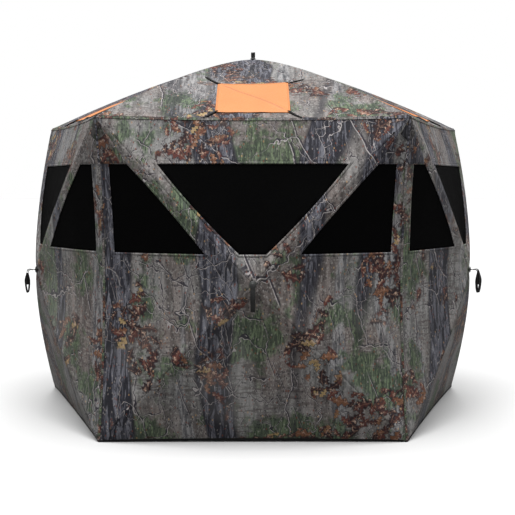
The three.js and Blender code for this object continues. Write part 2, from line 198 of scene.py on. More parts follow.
def walk(outline, spacing):
    """The outline with points added at an even spacing along each side."""
    points = []
    for a, b in sides_of(outline):
        steps = max(1, round(math.dist(a, b) / spacing))
        points += [(a[0] + (b[0] - a[0]) * i / steps, a[1] + (b[1] - a[1]) * i / steps) for i in range(steps)]
    return points


def inside(point, outline):
    x, y = point
    hit = False
    for (x0, y0), (x1, y1) in sides_of(outline):
        if (y0 > y) != (y1 > y) and x < (x1 - x0) * (y - y0) / (y1 - y0) + x0:
            hit = not hit
    return hit


def clear_of(point, outlines, gap):
    x, y = point
    for outline in outlines:
        for (x0, y0), (x1, y1) in sides_of(outline):
            length = max((x1 - x0) ** 2 + (y1 - y0) ** 2, 1e-12)
            t = min(1, max(0, ((x - x0) * (x1 - x0) + (y - y0) * (y1 - y0)) / length))
            if math.hypot(x - x0 - t * (x1 - x0), y - y0 - t * (y1 - y0)) < gap:
                return False
    return True


ROW_STEP = 0.87  # rows of evenly spaced points are this share of the spacing apart


def cloth(name, outline, holes, spacing, to_place, materials, print_at, thickness=CLOTH_THICK):
    """A sheet cut to a flat outline with holes, laid on the shape that to_place(x, y) gives."""
    rims = [walk(loop, spacing) for loop in [outline, *holes]]
    points, edges = [], []
    for rim in rims:
        start = len(points)
        points += rim
        edges += [(start + i, start + (i + 1) % len(rim)) for i in range(len(rim))]
    low_x, high_x = min(p[0] for p in outline), max(p[0] for p in outline)
    low_y, high_y = min(p[1] for p in outline), max(p[1] for p in outline)
    rows = int((high_y - low_y) / (spacing * ROW_STEP)) + 2
    columns = int((high_x - low_x) / spacing) + 2
    for row in range(rows):
        y = low_y + row * spacing * ROW_STEP
        for column in range(columns):
            point = (low_x + (column + 0.5 * (row % 2)) * spacing, y)
            if inside(point, outline) and not any(inside(point, hole) for hole in holes):
                if clear_of(point, [outline, *holes], spacing * 0.45):
                    points.append(point)
    flat, _, faces, *_ = geometry.delaunay_2d_cdt([Vector(p) for p in points], edges, [], 0, 1e-7)
    kept = []
    for face in faces:
        middle = sum((flat[i] for i in face), Vector((0, 0))) / len(face)
        if inside(middle, outline) and not any(inside(middle, hole) for hole in holes):
            kept.append(list(face))
    used = sorted({i for face in kept for i in face})
    number = {old: new for new, old in enumerate(used)}
    verts = [to_place(flat[i].x, flat[i].y) for i in used]
    uvs = [(flat[i].x + print_at[0], flat[i].y + print_at[1]) for i in used]
    obj = new_object(name, verts, [[number[i] for i in face] for face in kept], materials[0], uvs)
    for extra in materials[1:]:
        obj.data.materials.append(extra)
    solid = obj.modifiers.new("thickness", "SOLIDIFY")
    solid.thickness = thickness
    solid.offset = -1
    solid.use_even_offset = False
    solid.material_offset = len(materials) - 1
    apply_modifiers(obj)
    return obj


def apply_modifiers(obj):
    depsgraph = bpy.context.evaluated_depsgraph_get()
    mesh = bpy.data.meshes.new_from_object(obj.evaluated_get(depsgraph))
    old = obj.data
    obj.modifiers.clear()
    obj.data = mesh
    bpy.data.meshes.remove(old)
    mesh.name = obj.name


def flat_area(outline, holes=()):
    def area(loop):
        return abs(sum(a[0] * b[1] - b[0] * a[1] for a, b in sides_of(loop))) / 2

    return area(outline) - sum(area(hole) for hole in holes)


def declare_sheet(outline, holes):
    """Works out a sheet's width and length, and a narrow surround's as the one strip it would make when laid
    end to end; nothing uses them.
    """
    width = max(p[0] for p in outline) - min(p[0] for p in outline)
    length = max(p[1] for p in outline) - min(p[1] for p in outline)
    area = flat_area(outline, holes)
    if area < 0.3 * width * length:
        length = sum(math.dist(a, b) for a, b in sides_of(outline))
        width = 1.4 * area / length


def ring(centre, side, other, radius, sides):
    """Points round a centre, in the plane of two level directions."""
    angles = [2 * math.pi * k / sides for k in range(sides)]
    return [centre + side * (radius * math.cos(a)) + other * (radius * math.sin(a)) for a in angles]


def tube(name, path, radius, material, sides):
    """A round bar along a path of points, with flat ends."""
    verts, faces = [], []
    last = len(path) - 1
    side = None
    for i, point in enumerate(path):
        along = (path[min(i + 1, last)] - path[max(i - 1, 0)]).normalized()
        if side is None:
            side = along.cross(Vector((0.31, 0.17, 0.93))).normalized()
        side = (side - along * side.dot(along)).normalized()
        verts += ring(point, side, along.cross(side), radius, sides)
    for i in range(last):
        for k in range(sides):
            a, b = i * sides + k, i * sides + (k + 1) % sides
            faces.append([a, b, b + sides, a + sides])
    faces.append(list(range(sides))[::-1])
    faces.append([last * sides + k for k in range(sides)])
    return new_object(name, verts, faces, material)


def lathe(name, profile, place, axis, material, sides):
    """A turned solid: profile is (radius, height along axis), with its ends on the axis."""
    axis = Vector(axis).normalized()
    side = axis.orthogonal().normalized()
    other = axis.cross(side)
    verts, faces, rings = [], [], []
    for radius, height in profile:
        centre = place + axis * height
        if radius < 1e-6:
            rings.append([len(verts)])
            verts.append(centre)
            continue
        rings.append(list(range(len(verts), len(verts) + sides)))
        verts += ring(centre, side, other, radius, sides)
    for low, high in zip(rings, rings[1:]):
        for k in range(sides):
            n = (k + 1) % sides
            if len(low) == 1:
                faces.append([low[0], high[n], high[k]])
            elif len(high) == 1:
                faces.append([low[k], low[n], high[0]])
            else:
                faces.append([low[k], low[n], high[n], high[k]])
    return new_object(name, verts, faces, material)


def strap(name, sections, thickness, material):
    """A flat band through its sections: the middle, the half-width vector and the face normal of each."""
    verts, faces, uvs = [], [], []
    travelled = 0.0
    before = sections[0][0]
    for middle, half, normal in sections:
        travelled += (middle - before).length
        before = middle
        lift = normal * (thickness / 2)
        verts += [middle - half + lift, middle + half + lift, middle + half - lift, middle - half - lift]
        uvs += [(travelled, side * half.length) for side in (-1, 1, 1, -1)]
    last = 4 * (len(sections) - 1)
    for a in range(0, last, 4):
        for k in range(4):
            n = (k + 1) % 4
            faces.append([a + k, a + n, a + n + 4, a + k + 4])
    faces.append([3, 2, 1, 0])
    faces.append([last, last + 1, last + 2, last + 3])
    return new_object(name, verts, faces, material, uvs, smooth=False)


def spread(low, high, steps):
    """Evenly spaced values from low to high."""
    return [low + (high - low) * i / steps for i in range(steps + 1)]


# ---------------- materials
class Nodes:
    """Short calls for the shader nodes of one material."""

    def __init__(self, name):
        self.material = bpy.data.materials.new(name)
        self.material.use_nodes = True
        self.tree = self.material.node_tree
        self.shader = self.tree.nodes["Principled BSDF"]

    def link(self, value, socket):
        if isinstance(value, bpy.types.NodeSocket):
            self.tree.links.new(value, socket)
        elif isinstance(value, (tuple, list)) and socket.type == "RGBA":
            socket.default_value = (*value[:3], 1.0)
        else:
            socket.default_value = value

    def node(self, kind, settings=None, **inputs):
        made = self.tree.nodes.new(kind)
        for key, value in (settings or {}).items():
            setattr(made, key, value)
        for key, value in inputs.items():
            self.link(value, made.inputs[key.replace("_", " ")])
        return made

    def coordinates(self):
        return self.node("ShaderNodeUVMap", {"uv_map": "print"}).outputs[0]

    def object_coordinates(self):
        return self.node("ShaderNodeTexCoord").outputs["Object"]

    def scaled(self, vector, scale, offset=(0, 0, 0), turn=0.0):
        return self.node(
            "ShaderNodeMapping", Vector=vector, Scale=scale, Location=offset, Rotation=(0, 0, turn)
        ).outputs[0]

    def noise(self, vector, scale=1.0, detail=2.0, roughness=0.5, distortion=0.0):
        return self.node(
            "ShaderNodeTexNoise", {"noise_dimensions": "2D"},
            Vector=vector, Scale=scale, Detail=detail, Roughness=roughness, Distortion=distortion,
        ).outputs[0]

    def noise3(self, vector, scale=1.0, detail=2.0, roughness=0.5):
        return self.node(
            "ShaderNodeTexNoise", Vector=vector, Scale=scale, Detail=detail, Roughness=roughness
        ).outputs[0]

    def voronoi(self, vector, scale, randomness, feature="F1"):
        settings = {"voronoi_dimensions": "2D", "feature": feature}
        made = self.node("ShaderNodeTexVoronoi", settings, Vector=vector, Scale=scale, Randomness=randomness)
        return made.outputs

    def maths(self, operation, a, b=0.0, clamp=False):
        made = self.node("ShaderNodeMath", {"operation": operation, "use_clamp": clamp})
        self.link(a, made.inputs[0])
        self.link(b, made.inputs[1])
        return made.outputs[0]

    def add(self, a, b):
        return self.maths("ADD", a, b)

    def sub(self, a, b):
        return self.maths("SUBTRACT", a, b)

    def mul(self, *factors):
        product = factors[0]
        for factor in factors[1:]:
            product = self.maths("MULTIPLY", product, factor)
        return product

    def split(self, vector):
        made = self.node("ShaderNodeSeparateXYZ", Vector=vector)
        return made.outputs[0], made.outputs[1]

    def join(self, x, y, z=0.0):
        return self.node("ShaderNodeCombineXYZ", X=x, Y=y, Z=z).outputs[0]

    def step(self, value, low, high):
        """0 below low, 1 above high, smooth between them. low may be the larger one, which turns it over."""
        made = self.node("ShaderNodeMapRange", {"interpolation_type": "SMOOTHSTEP"})
        flip = low > high
        for key, entry in (("Value", value), ("From Min", min(low, high)), ("From Max", max(low, high)),
                           ("To Min", 1.0 if flip else 0.0), ("To Max", 0.0 if flip else 1.0)):
            self.link(entry, made.inputs[key])
        return made.outputs[0]

    def mix(self, amount, a, b):
        made = self.node("ShaderNodeMix", {"data_type": "RGBA"})
        self.link(amount, made.inputs[0])
        self.link(a, made.inputs[6])
        self.link(b, made.inputs[7])
        return made.outputs[2]

    def shade(self, colour, amount):
        """The colour times a value."""
        made = self.node("ShaderNodeVectorMath", {"operation": "SCALE"})
        self.link(colour, made.inputs[0])
        self.link(amount, made.inputs["Scale"])
        return made.outputs[0]

    def bump(self, height, strength, distance, under=None):
        made = self.node("ShaderNodeBump", Strength=strength, Distance=distance, Height=height)
        if under:
            self.link(under, made.inputs["Normal"])
        return made.outputs[0]

    def finish(self, colour, roughness, normal=None, **sockets):
        self.link(colour, self.shader.inputs["Base Color"])
        self.link(roughness, self.shader.inputs["Roughness"])
        if normal:
            self.link(normal, self.shader.inputs["Normal"])
        for key, value in sockets.items():
            self.link(value, self.shader.inputs[key.replace("_", " ")])
        return self.material


def weave(n, vector, threads_per_metre):
    """Height of a plain weave: two sets of threads."""
    warp, weft = [n.maths("SINE", n.mul(way, threads_per_metre * 2 * math.pi)) for way in n.split(vector)]
    return n.mul(warp, weft)


LEAF_HALF_LENGTH, LEAF_HALF_WIDTH, LEAF_LOBES = 0.46, 0.24, 0.28  # in cells, and the depth of the lobes


def leaf_layer(n, p, scale, offset, amount, seed_turn):
    """Lobed leaves, one in each cell: masks of leaf and rim, a random value, the lit side and the rib."""
    v = n.scaled(p, (scale, scale, 1), offset, seed_turn)
    cells = n.voronoi(v, 1.0, 0.85)
    away = n.node("ShaderNodeVectorMath", {"operation": "SUBTRACT"})
    n.link(v, away.inputs[0])
    n.link(cells["Position"], away.inputs[1])
    colour = n.node("ShaderNodeSeparateColor", Color=cells["Color"])
    angle = n.mul(colour.outputs[0], 2 * math.pi)
    about_z = {"rotation_type": "Z_AXIS"}
    x, y = n.split(n.node("ShaderNodeVectorRotate", about_z, Vector=away.outputs[0], Angle=angle).outputs[0])
    length = n.maths("DIVIDE", x, LEAF_HALF_LENGTH)
    taper = n.maths("SUBTRACT", 1.0, n.mul(length, length), clamp=True)
    lobes = n.add(1 - LEAF_LOBES, n.mul(n.maths("COSINE", n.mul(x, 26.0)), LEAF_LOBES))
    width = n.mul(taper, lobes, LEAF_HALF_WIDTH)
    curl = n.mul(x, x, 0.5)
    bent = n.maths("ABSOLUTE", n.add(y, curl))
    room = n.sub(width, bent)
    present = n.step(colour.outputs[1], 1 - amount, 1 - amount + 0.02)
    leaf = n.mul(n.step(room, 0.0, 0.03), present)
    rim = n.mul(n.step(room, -0.07, 0.0), present)
    rib = n.step(bent, 0.018, 0.004)
    lit = n.step(y, -0.10, 0.12)
    return leaf, rim, colour.outputs[2], lit, rib


# colours of the print: one, or the dark and the light one of a pair
HAZE, HAZE_SPECK = ((0.104, 0.088, 0.082), (0.134, 0.132, 0.130)), (0.215, 0.208, 0.200)
GRASS = (0.045, 0.036, 0.034)
FAR_TRUNK = (0.030, 0.032, 0.038), (0.215, 0.212, 0.215)
FOLIAGE = (0.018, 0.030, 0.017), (0.086, 0.118, 0.064)
NEAR_TRUNK = (0.012, 0.012, 0.018), (0.105, 0.106, 0.124)
BARK_SPLIT, TRUNK_EDGE = (0.010, 0.010, 0.014), (0.012, 0.011, 0.014)
BRANCH, BRANCH_LIT = (0.014, 0.012, 0.018), (0.270, 0.250, 0.245)
LEAF = (0.014, 0.006, 0.007), (0.062, 0.019, 0.015)
LEAF_BROWN, LEAF_YELLOW, LEAF_LIT = (0.105, 0.046, 0.024), (0.210, 0.150, 0.070), (0.300, 0.205, 0.155)
LEAF_RIB, LEAF_RIM = (0.200, 0.110, 0.075), (0.010, 0.007, 0.009)
# each size of branch: how many in a metre, its shift and its width
BRANCHES = ((2.1, (0.3, 0.8), 0.0050), (3.3, (4.0, 7.0), 0.0034), (5.6, (1.0, 3.0), 0.0024),
            (8.5, (5.0, 2.0), 0.0017))
# the dark line and the lit edge of a branch: offset and thickness in its widths, colour, strength
BRANCH_LINES = (((0.0, -0.6), 1.5, BRANCH, 0.9), ((0.25, 0.5), 0.55, BRANCH_LIT, 0.85))
# each layer of leaves: cells in a metre, shift, share of the cells with a leaf, turn
LEAF_LAYERS = ((7.5, (0, 0, 0), 0.9, 0.2), (9.5, (3, 8, 0), 0.9, 1.1), (12.0, (7, 1, 0), 0.8, 2.3),
               (15.0, (2, 5, 0), 0.6, 0.9))


def haze(n, p):
    """Hazy ground colour with upright streaks and lying grass."""
    streak = n.noise(n.scaled(p, (26, 3.2, 1)), 1.0, 4, 0.6)
    patch = n.noise(p, 2.2, 3, 0.55)
    speck = n.noise(p, 60, 3, 0.6)
    colour = n.mix(n.step(patch, 0.35, 0.65), *HAZE)
    colour = n.mix(n.step(streak, 0.30, 0.72), n.shade(colour, 0.50), n.shade(colour, 1.32))
    colour = n.mix(n.mul(n.step(speck, 0.52, 0.68), 0.5), colour, HAZE_SPECK)
    grass = n.noise(n.scaled(p, (9, 70, 1), (0, 0, 0), 0.12), 1.0, 3, 0.6, 0.5)
    lying = n.mul(n.step(grass, 0.50, 0.62), n.step(n.noise(p, 1.7, 2, 0.5), 0.48, 0.56))
    return n.mix(n.mul(lying, 0.7), colour, GRASS)


def far_trunks(n, p, colour):
    x, y = n.split(p)
    sway = n.mul(n.noise(n.scaled(p, (1.0, 1.3, 1)), 1.0, 2), 0.22)
    far = n.noise(n.join(n.add(x, sway), n.mul(y, 0.05)), 6.5, 1, 0.4)
    bark = n.noise(n.scaled(p, (55, 9, 1)), 1.0, 3, 0.6)
    pale = n.mix(n.step(bark, 0.32, 0.70), *FAR_TRUNK)
    return n.mix(n.mul(n.step(far, 0.56, 0.62), 0.75), colour, pale)


def foliage(n, p, colour):
    """Soft green patches with needle strokes."""
    area = n.noise(n.scaled(p, (1.0, 1.0, 1), (3.7, 1.9, 0)), 3.4, 5, 0.62)
    needles = n.noise(n.scaled(p, (95, 15, 1), (0, 0, 0), 0.5), 1.0, 2, 0.6, 0.6)
    crossing = n.noise(n.scaled(p, (90, 16, 1), (0, 0, 0), -0.7), 1.0, 2, 0.6, 0.6)
    strokes = n.maths("MAXIMUM", needles, crossing)
    green = n.mix(n.step(strokes, 0.50, 0.70), *FOLIAGE)
    return n.mix(n.mul(n.step(area, 0.50, 0.59), 0.85), colour, green)


def near_trunks(n, p, colour):
    """Dark and bluish, with split bark and a dark edge."""
    x, y = n.split(p)
    sway = n.mul(n.noise(n.scaled(p, (0.8, 0.9, 1), (9.1, 4.2, 0)), 1.0, 2), 0.34)
    near = n.noise(n.join(n.add(n.add(x, sway), 1.7), n.mul(y, 0.06)), 3.1, 0.6, 0.3)
    bark = n.noise(n.scaled(p, (48, 6.5, 1)), 1.0, 5, 0.68, 0.8)
    splits = n.noise(n.scaled(p, (30, 4.5, 1), (5.2, 1.1, 0)), 1.0, 4, 0.65, 1.2)
    trunk = n.mix(n.step(bark, 0.36, 0.66), *NEAR_TRUNK)
    trunk = n.mix(n.step(splits, 0.50, 0.44), trunk, BARK_SPLIT)
    colour = n.mix(n.step(near, 0.585, 0.605), colour, trunk)
    edge = n.mul(n.step(near, 0.57, 0.59), n.step(near, 0.615, 0.60))
    return n.mix(n.mul(edge, 0.55), colour, TRUNK_EDGE)


def branches(n, p, colour):
    """Forked dark lines with a lit upper edge."""
    wobble = n.noise(p, 4.5, 3, 0.6)
    for scale, shift, width in BRANCHES:
        bent = n.node("ShaderNodeVectorMath", {"operation": "MULTIPLY_ADD"})
        n.link(n.join(wobble, n.sub(0.9, wobble)), bent.inputs[0])
        n.link((0.16, 0.16, 0), bent.inputs[1])
        n.link(n.scaled(p, (1.0, 0.72, 1), (*shift, 0), 0.25), bent.inputs[2])
        broken = n.step(n.noise(n.scaled(p, (1, 1, 1), (shift[1], shift[0], 0)), 2.6, 1), 0.47, 0.53)
        for offset, thick, ink, strength in BRANCH_LINES:
            moved = n.scaled(bent.outputs[0], (1, 1, 1), (offset[0] * width, offset[1] * width, 0))
            edges = n.voronoi(moved, scale, 1.0, "DISTANCE_TO_EDGE")["Distance"]
            line = n.step(edges, width * scale * thick, width * scale * thick * 0.55)
            colour = n.mix(n.mul(line, broken, strength), colour, ink)
    return colour


def leaves(n, p, colour):
    """Leaves in clusters, flecked with light."""
    cluster = n.noise(n.scaled(p, (1, 1, 1), (6.3, 2.8, 0)), 2.9, 2, 0.5)
    here = n.step(cluster, 0.545, 0.570)
    fleck = n.noise(p, 55, 3, 0.62)
    for scale, shift, amount, turn in LEAF_LAYERS:
        leaf, rim, random, lit, rib = leaf_layer(n, p, scale, shift, amount, turn)
        body = n.mix(n.step(random, 0.25, 0.70), *LEAF)
        body = n.mix(n.step(random, 0.76, 0.84), body, LEAF_BROWN)
        body = n.mix(n.step(random, 0.94, 0.97), body, LEAF_YELLOW)
        body = n.mix(n.mul(n.step(fleck, 0.50, 0.62), lit), body, LEAF_LIT)
        body = n.mix(n.mul(rib, 0.45), body, LEAF_RIB)
        colour = n.mix(n.mul(rim, here, 0.7), colour, LEAF_RIM)
        colour = n.mix(n.mul(leaf, here), colour, body)
    return colour


# small flecks of the print: from and to which random value, colour, strength
FLECKS = ((0.00, 0.16, (0.010, 0.009, 0.012), 0.62), (0.85, 0.93, (0.24, 0.22, 0.21), 0.40),
          (0.93, 0.965, (0.10, 0.028, 0.016), 0.7), (0.965, 0.976, (0.30, 0.19, 0.09), 0.6))


def litter(n, p, colour):
    """Small flecks of every tone of the print, which give it its grain."""
    cells = n.voronoi(n.scaled(p, (1.25, 0.8, 1), turn=0.5), 78.0, 1.0)
    random = n.node("ShaderNodeSeparateColor", Color=cells["Color"]).outputs[0]
    near = n.step(cells["Distance"], 0.42, 0.30)
    for low, high, ink, strength in FLECKS:
        pick = n.mul(n.step(random, low - 0.01, low), n.step(random, high, high - 0.01))
        colour = n.mix(n.mul(pick, near, strength), colour, ink)
    tone = n.noise(p, 150, 2, 0.7)
    return n.shade(colour, n.add(0.52, n.mul(tone, 0.96)))


def camo_material(name, tone):
    """The printed woodland, from back to front, on worn cloth."""
    n = Nodes(name)
    p = n.coordinates()
    colour = haze(n, p)
    for layer in (far_trunks, foliage, near_trunks, branches, leaves, litter):
        colour = layer(n, p, colour)
    # tone scales the whole print: the base cloth uses one value, and the lighter and darker copies made with
    # it are painted light and shade
    colour = n.shade(colour, tone)
    worn = n.noise(p, 1.3, 3, 0.6)
    colour = n.mix(n.mul(n.step(worn, 0.55, 0.75), 0.12), colour, (0.24, 0.235, 0.225))
    ripples = n.noise(n.scaled(p, (5, 3, 1)), 1.0, 4, 0.55, 0.4)
    soft = n.bump(ripples, 0.35, 0.010)
    threads = n.bump(weave(n, p, 900), 0.25, 0.0004, soft)
    roughness = n.add(0.68, n.mul(worn, 0.16))
    return n.finish(colour, roughness, threads, Specular_IOR_Level=0.12)


def lining_material():
    n = Nodes("black_coated_back")
    p = n.coordinates()
    patch = n.noise(p, 3.0, 4, 0.6)
    colour = n.mix(patch, (0.008, 0.008, 0.009), (0.022, 0.022, 0.024))
    soft = n.bump(n.noise(p, 9.0, 4, 0.6), 0.4, 0.006)
    return n.finish(colour, 0.5, n.bump(weave(n, p, 900), 0.2, 0.0004, soft))


def mesh_material():
    n = Nodes("shoot_through_mesh")
    p = n.coordinates()
    knit = weave(n, p, 350)
    # darker where the knit is low and lighter on its raised threads, following the bump's height: painted
    # shade
    colour = n.mix(n.step(knit, -0.2, 0.6), (0.0003, 0.0003, 0.0003), (0.0014, 0.0014, 0.0015))
    drape = n.bump(n.noise(p, 5.0, 3, 0.5), 0.4, 0.01)
    return n.finish(colour, 0.9, n.bump(knit, 0.4, 0.0008, drape), Specular_IOR_Level=0.01)


def orange_material():
    n = Nodes("safety_orange_cloth")
    p = n.coordinates()
    tone = n.noise(p, 6.0, 4, 0.6)
    colour = n.mix(tone, (0.222, 0.074, 0.016), (0.262, 0.091, 0.021))
    x, y = n.split(p)
    across = n.maths("DIVIDE", x, FLAG_WIDTH / 2)
    along = n.maths("DIVIDE", n.sub(y, FLAG_MIDDLE), FLAG_DEPTH / 2)
    # a darker orange along the old diagonal fold, kept off the ends: painted shade on the crease
    fold = n.maths("ABSOLUTE", n.add(n.add(across, along), 0.03))
    inside_ends = n.step(n.maths("ABSOLUTE", across), 0.88, 0.78)
    painted_crease_shade = n.mul(n.step(fold, 0.055, 0.015), n.mul(inside_ends, 0.45))
    colour = n.mix(painted_crease_shade, colour, (0.125, 0.038, 0.008))
    soft = n.bump(n.noise(n.scaled(p, (9, 5, 1)), 1.0, 4, 0.6), 0.35, 0.008)
    threads = n.bump(weave(n, p, 1100), 0.25, 0.0003, soft)
    return n.finish(colour, 0.6, threads, Specular_IOR_Level=0.3)


def webbing_material(name="black_webbing", base=(0.004, 0.004, 0.004)):
    """Webbing with ribs across the band and rows along it."""
    n = Nodes(name)
    p = n.coordinates()
    x, y = n.split(p)
    ribs = n.maths("SINE", n.mul(x, 2 * math.pi / 0.0018))
    chevron = n.maths("SINE", n.mul(y, 2 * math.pi / 0.0030))
    height = n.add(n.mul(ribs, 0.7), n.mul(chevron, 0.3))
    # the ribs' crests lighter and the grooves darker, following the bump's height: painted light and shade
    light = tuple(c * 2.4 + 0.001 for c in base)
    colour = n.mix(n.step(height, -0.9, 1.0), base, light)
    return n.finish(colour, 0.75, n.bump(height, 0.6, 0.0005), Specular_IOR_Level=0.06)


def rod_material():
    n = Nodes("fibreglass_rod")
    p = n.object_coordinates()
    grain = n.noise3(n.scaled(p, (220, 220, 220)), 1.0, 2)
    wear = n.noise3(p, 7.0, 4, 0.6)
    colour = n.mix(wear, (0.010, 0.010, 0.011), (0.030, 0.030, 0.031))
    roughness = n.add(0.28, n.mul(wear, 0.2))
    return n.finish(colour, roughness, n.bump(grain, 0.12, 0.0003))


def plastic_material():
    n = Nodes("hub_nylon")
    p = n.object_coordinates()
    grain = n.noise3(p, 900.0, 2, 0.6)
    scuff = n.noise3(p, 30.0, 5, 0.7)
    colour = n.mix(n.step(scuff, 0.55, 0.75), (0.006, 0.007, 0.006), (0.022, 0.024, 0.022))
    roughness = n.add(0.55, n.mul(scuff, 0.2))
    return n.finish(colour, roughness, n.bump(grain, 0.25, 0.0002), Specular_IOR_Level=0.3)


def metal_material(name, colour_low, colour_high, rough):
    n = Nodes(name)
    p = n.object_coordinates()
    brushed = n.noise3(n.scaled(p, (60, 60, 900)), 1.0, 3)
    colour = n.mix(brushed, colour_low, colour_high)
    roughness = n.add(rough, n.mul(brushed, 0.18))
    return n.finish(colour, roughness, n.bump(brushed, 0.08, 0.0002), Metallic=1.0)


def cord_material():
    n = Nodes("black_cord")
    p = n.object_coordinates()
    twist = n.noise3(n.scaled(p, (700, 700, 700)), 1.0, 2)
    colour = n.mix(twist, (0.006, 0.006, 0.006), (0.030, 0.030, 0.031))
    return n.finish(colour, 0.8, n.bump(twist, 0.6, 0.0004))


def floor_material():
    n = Nodes("studio_floor")
    p = n.object_coordinates()
    tone = n.noise3(p, 0.7, 3)
    colour = n.mix(tone, (0.242, 0.242, 0.242), (0.252, 0.252, 0.252))
    return n.finish(colour, 0.85)


CAMO = camo_material("camo_cloth", 0.56)
# a lighter copy of the print for the roof and the walls' upper facets: painted light on the faces that turn
# up to the overhead lamp
CAMO_PAINTED_LIGHT = camo_material("camo_roof_cloth", 0.66)
# a darker copy of the print for the corner gussets: painted shade under the top corners
CAMO_SHADED_GUSSET = camo_material("camo_gusset", 0.46)
# a much darker copy of the print for the corner patches: painted shade under the top corners
CAMO_PAINTED_SHADE = camo_material("camo_corner_patch", 0.20)
LINING = lining_material()
MESH = mesh_material()
ORANGE = orange_material()
WEBBING = webbing_material()
BINDING = webbing_material("black_binding", (0.003, 0.003, 0.003))
ROD = rod_material()
PLASTIC = plastic_material()
STEEL = metal_material("plated_steel", (0.36, 0.36, 0.37), (0.62, 0.62, 0.63), 0.25)
CORD = cord_material()
GUNMETAL = metal_material("zip_metal", (0.05, 0.05, 0.055), (0.14, 0.14, 0.15), 0.35)


# ---------------- walls
def rod_at(height):
    return (height - HUB_Z) / SLOPE


def bowed_edge(start, end, bow):
    """Points between two ends of a window edge that bows sideways."""
    return [(start[0] + (end[0] - start[0]) * t + bow * 4 * t * (1 - t), start[1] + (end[1] - start[1]) * t)
            for t in spread(0, 1, 6)]


def middle_window():
    top, low = rod_at(WINDOW_TOP) - INNER_STRIP_TOP, rod_at(WINDOW_LOW) - INNER_STRIP_LOW
    right = bowed_edge((low, WINDOW_LOW), (top, WINDOW_TOP), INNER_WAIST)
    return right + [(-x, y) for x, y in right][::-1]


def side_window(side):
    low = (rod_at(WINDOW_LOW) + OUTER_STRIP_LOW, WINDOW_LOW)
    high = (rod_at(WINDOW_TOP) + OUTER_STRIP_TOP, WINDOW_TOP)
    corner = [(HALF - CORNER_STRIP_LOW, WINDOW_LOW), (HALF - CORNER_STRIP_TOP, WINDOW_TOP)]
    outline = corner + bowed_edge(high, low, -OUTER_WAIST)
    return outline if side > 0 else [(-x, y) for x, y in outline][::-1]


def grown(outline, amount):
    """The convex outline with each side moved outwards."""
    lines = []
    for (x0, y0), (x1, y1) in sides_of(outline):
        length = math.dist((x0, y0), (x1, y1))
        nx, ny = (y1 - y0) / length, -(x1 - x0) / length
        lines.append((nx, ny, nx * x0 + ny * y0 + amount))
    corners = []
    for (a, b, c), (d, e, f) in zip(lines[-1:] + lines[:-1], lines):
        det = a * e - b * d
        corners.append(((c * e - b * f) / det, (a * f - c * d) / det))
    return corners


def door_outline(grow):
    edge = HALF - DOOR_CORNER + grow
    from_rod = DOOR_ROD - grow
    reach = edge * SLOPE - from_rod / math.cos(ROD_ANGLE)
    return [(from_rod / math.sin(ROD_ANGLE), HUB_Z), (edge, HUB_Z - reach), (edge, HUB_Z + reach)]


def facets():
    """Each facet's outline, windows, a point of its hinge edge, the direction in from there, and its rod."""
    low, high = HUB_Z - HOLE * SLOPE, HUB_Z + HOLE * SLOPE
    edge_x, top = HALF - SEAM_GAP, WALL_TOP - EAVES_GAP
    return {
        "upper": ([(-edge_x, top), (-HOLE, high), (HOLE, high), (edge_x, top)], [middle_window()],
                  (0, WALL_TOP), (0, -1), "upper_left"),
        "right": ([(edge_x, top), (HOLE, high), (HOLE, low), (edge_x, 0)], [side_window(1)],
                  (HALF, HUB_Z), (-1, 0), "upper_right"),
        "lower": ([(edge_x, 0), (HOLE, low), (-HOLE, low), (-edge_x, 0)], [], (0, 0), (0, 1), "lower_right"),
        "left": ([(-edge_x, 0), (-HOLE, low), (-HOLE, high), (-edge_x, top)], [side_window(-1)],
                 (-HALF, HUB_Z), (1, 0), "lower_left"),
    }


def hem_lift(x, y):
    """The hem bows up a little between the corners."""
    return HEM_BOW * (1 - (x / HALF) ** 2) * max(0.0, 1 - y / 0.12)


def eaves_drop(x, away):
    """How far the sagging eaves pull down the cloth at a distance from them."""
    return EAVES_SAG * (1 - min(1.0, abs(x) / HALF) ** 2) * max(0.0, 1 - away / 0.22) ** 2


def wall_surface(wall, offset=0.0):
    seed = 1.3 + 2.1 * wall.number

    def place(x, y):
        across, along = min(1.0, abs(x) / HALF), abs(y - HUB_Z) / HUB_Z
        share = max(0.0, across - along) / max(1e-6, 1 - along)  # 0 on the rods, 1 on the corner seam
        drawn = SEAM_BOW * share ** 2 * math.sin(math.pi * y / WALL_TOP)
        shift = math.copysign(drawn * math.sin(math.pi / SIDES), x)
        out = wall_rise(x, y) + creases(x, y, seed) + offset - drawn * math.cos(math.pi / SIDES)
        return wall.at(x - shift, y + hem_lift(x, y) - eaves_drop(x, WALL_TOP - y), out)

    return place


def bend_at(obj, wall, edge, inwards, rod):
    start = wall.at(edge[0], edge[1])
    end = wall.at(edge[0] + BEND * inwards[0], edge[1] + BEND * inwards[1])
    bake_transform(obj)


